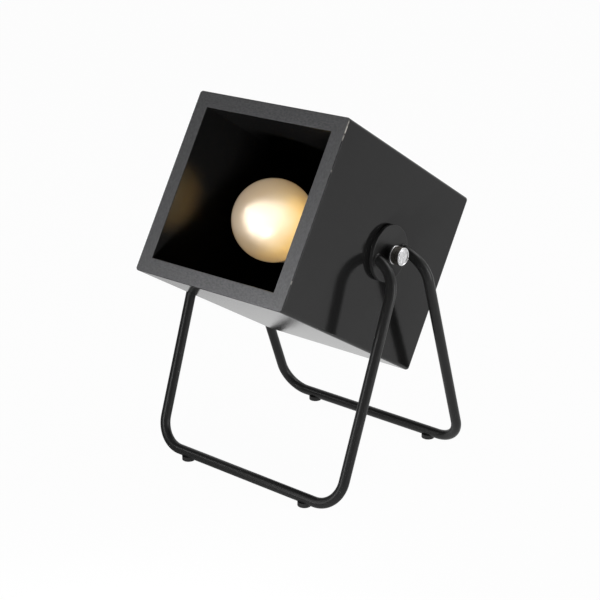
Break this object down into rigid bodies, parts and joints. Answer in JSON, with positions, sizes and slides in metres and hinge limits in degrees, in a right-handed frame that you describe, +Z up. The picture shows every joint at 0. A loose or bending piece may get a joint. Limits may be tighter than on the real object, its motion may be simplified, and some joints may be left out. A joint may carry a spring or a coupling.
{
  "type": "tabletop searchlight lamp",
  "caption": "Tabletop lamp: an open-fronted square box head round a globe bulb, tilting between round plates on a bent-wire stand and clamped by thumb nuts.",
  "frame": {"origin": "on the table under the middle of the lamp's bounding box, as it stands with its head tilted 31 degrees nose up; the pivot line lies 5.1 mm behind it and 179 mm above it", "axes": "+Z up, -Y the way the lamp shines, +X to the right as seen from the front, along the pivot line"},
  "size_m": [0.1954, 0.221, 0.2861],
  "materials": {
    "painted_board": "12 mm fibreboard in satin black paint",
    "powder_coated_steel": "satin black powder coat",
    "chrome": "polished chrome plate",
    "zinc_plated_steel": "zinc plated",
    "brass": "plain brass",
    "aluminium": "bright",
    "nickel_plated": "nickel plated, rolled thread",
    "black_plastic": "moulded black",
    "white_plastic": "moulded white",
    "opal": "opal white, lit warm",
    "cream_plastic": "moulded insulator",
    "phosphor": "yellow phosphor",
    "rubber": "black rubber"
  },
  "bodies": {
    "stand": {"front_left_foot": "rubber", "front_leg_frame": "powder_coated_steel", "front_right_foot": "rubber", "left_nut_collar": "black_plastic", "left_pivot_plate": "powder_coated_steel", "rear_left_foot": "rubber", "rear_leg_frame": "powder_coated_steel", "rear_right_foot": "rubber", "right_nut_collar": "black_plastic", "right_pivot_plate": "powder_coated_steel"},
    "lamp_head": {"cable_gland": "black_plastic", "cable_gland_screw": "black_plastic", "holder_tube": "zinc_plated_steel", "holder_tube_nut": "zinc_plated_steel", "holder_tube_washer": "zinc_plated_steel", "housing_back_panel": "painted_board", "housing_bottom_panel": "painted_board", "housing_left_panel": "painted_board", "housing_right_panel": "painted_board", "housing_top_panel": "painted_board", "lamp_holder_cap": "black_plastic", "lamp_holder_centre_contact": "brass", "lamp_holder_insulator": "cream_plastic", "lamp_holder_screw_shell": "brass", "lamp_holder_side_contact": "brass", "lamp_holder_skirt": "black_plastic", "lamp_holder_terminal_screws": "brass", "left_friction_washer": "rubber", "left_pivot_insert": "brass", "left_pivot_stud": "zinc_plated_steel", "right_friction_washer": "rubber", "right_pivot_insert": "brass", "right_pivot_stud": "zinc_plated_steel"},
    "bulb": {"bulb_cap_insulator": "black_plastic", "bulb_contact_tip": "brass", "bulb_globe": "opal", "bulb_housing": "white_plastic", "bulb_led_board": "aluminium", "bulb_led_chips": "phosphor", "bulb_screw_cap": "nickel_plated"},
    "left_nut": {"left_nut_face": "chrome", "left_thumb_nut": "chrome"},
    "right_nut": {"right_nut_face": "chrome", "right_thumb_nut": "chrome"}
  },
  "joints": [
    {"name": "head_tilt", "type": "hinge", "parent": "stand", "child": "lamp_head", "pos_m": [0, 0.00512, 0.179], "axis": [-1, 0, 0], "range_deg": [-121, 59]},
    {"name": "bulb_turn", "type": "hinge", "parent": "lamp_head", "child": "bulb", "pos_m": [0, -0.03749, 0.19935], "axis": [0, -0.8572, 0.515], "range_deg": [0, 360]},
    {"name": "right_nut_turn", "type": "hinge", "parent": "lamp_head", "child": "right_nut", "pos_m": [0.08, 0.00512, 0.179], "axis": [1, 0, 0], "range_deg": [0, 360]},
    {"name": "left_nut_turn", "type": "hinge", "parent": "lamp_head", "child": "left_nut", "pos_m": [-0.08, 0.00512, 0.179], "axis": [-1, 0, 0], "range_deg": [0, 360]}
  ]
}
